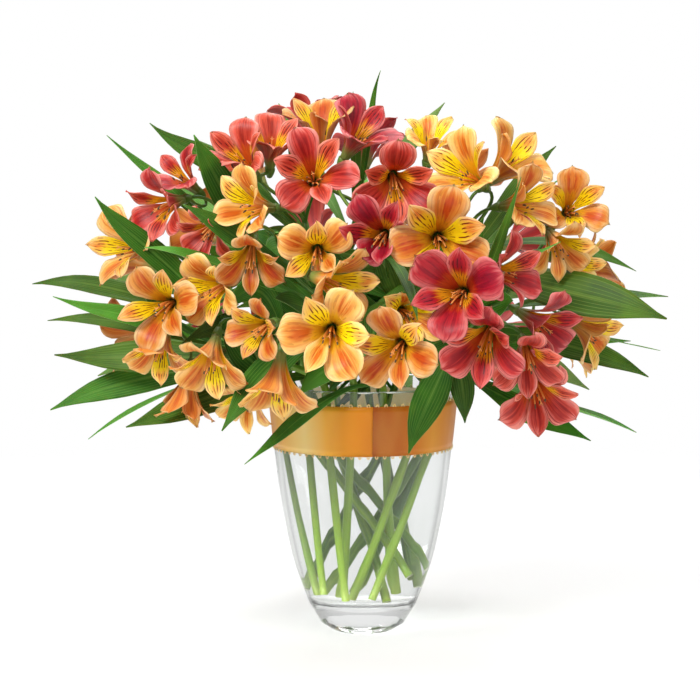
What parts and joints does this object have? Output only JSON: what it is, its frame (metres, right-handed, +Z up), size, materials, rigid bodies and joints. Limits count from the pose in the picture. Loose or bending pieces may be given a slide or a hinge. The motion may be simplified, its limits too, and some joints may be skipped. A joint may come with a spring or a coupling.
{
  "type": "alstroemeria bouquet in a glass vase",
  "caption": "Dome of open orange and coral-red alstroemeria on leafy stems, standing in water in a panelled clear glass vase with a satin ribbon round its rim.",
  "frame": {"origin": "centre of the vase's flat underside", "axes": "+Z up along the vase's axis; -Y towards the side the picture shows; +X to the viewer's right"},
  "size_m": [0.484, 0.4003, 0.434],
  "materials": {
    "vase_glass": "clear polished pressed glass with soft vertical panels",
    "water": "clear still water",
    "ribbon_satin": "satin ribbon with a soft sheen",
    "orange_petals": "soft matt petals, peach to orange with yellow throats and dark streaks",
    "coral_petals": "soft matt petals, coral pink to deep red with yellow throats and dark streaks",
    "green_stems_and_leaves": "smooth fresh green, satin leaves with parallel veins"
  },
  "bodies": {
    "root": {"vase": "vase_glass", "water": "water", "ribbon": "ribbon_satin", "bloom_b_01": "orange_petals", "bloom_b_02": "coral_petals", "bloom_b_03": "orange_petals", "bloom_b_04": "coral_petals", "bloom_b_05": "orange_petals", "bloom_b_06": "coral_petals", "bloom_b_07": "orange_petals", "bloom_b_08": "coral_petals", "bloom_b_09": "orange_petals", "bloom_b_10": "coral_petals", "bloom_o_01": "orange_petals", "bloom_o_02": "orange_petals", "bloom_o_03": "orange_petals", "bloom_o_04": "orange_petals", "bloom_o_05": "orange_petals", "bloom_o_06": "orange_petals", "bloom_o_07": "orange_petals", "bloom_o_08": "orange_petals", "bloom_o_09": "orange_petals", "bloom_o_10": "orange_petals", "bloom_o_11": "orange_petals", "bloom_o_12": "orange_petals", "bloom_o_13": "orange_petals", "bloom_o_14": "orange_petals", "bloom_o_15": "orange_petals", "bloom_o_16": "orange_petals", "bloom_o_17": "orange_petals", "bloom_o_18": "orange_petals", "bloom_o_19": "orange_petals", "bloom_o_20": "orange_petals", "bloom_o_21": "orange_petals", "bloom_r_01": "coral_petals", "bloom_r_02": "coral_petals", "bloom_r_03": "coral_petals", "bloom_r_04": "coral_petals", "bloom_r_05": "coral_petals", "bloom_r_06": "coral_petals", "bloom_r_07": "coral_petals", "bloom_r_08": "coral_petals", "bloom_r_09": "coral_petals", "bloom_r_10": "coral_petals", "bloom_r_11": "coral_petals", "bloom_r_12": "coral_petals", "stem_back": "green_stems_and_leaves", "stem_back_left": "green_stems_and_leaves", "stem_back_right": "green_stems_and_leaves", "stem_centre": "green_stems_and_leaves", "stem_centre_red": "green_stems_and_leaves", "stem_far_left": "green_stems_and_leaves", "stem_left_inner": "green_stems_and_leaves", "stem_left_red": "green_stems_and_leaves", "stem_left_top": "green_stems_and_leaves", "stem_low_left": "green_stems_and_leaves", "stem_right": "green_stems_and_leaves", "stem_right_red": "green_stems_and_leaves", "stem_right_top": "green_stems_and_leaves", "stem_top": "green_stems_and_leaves"}
  },
  "joints": []
}
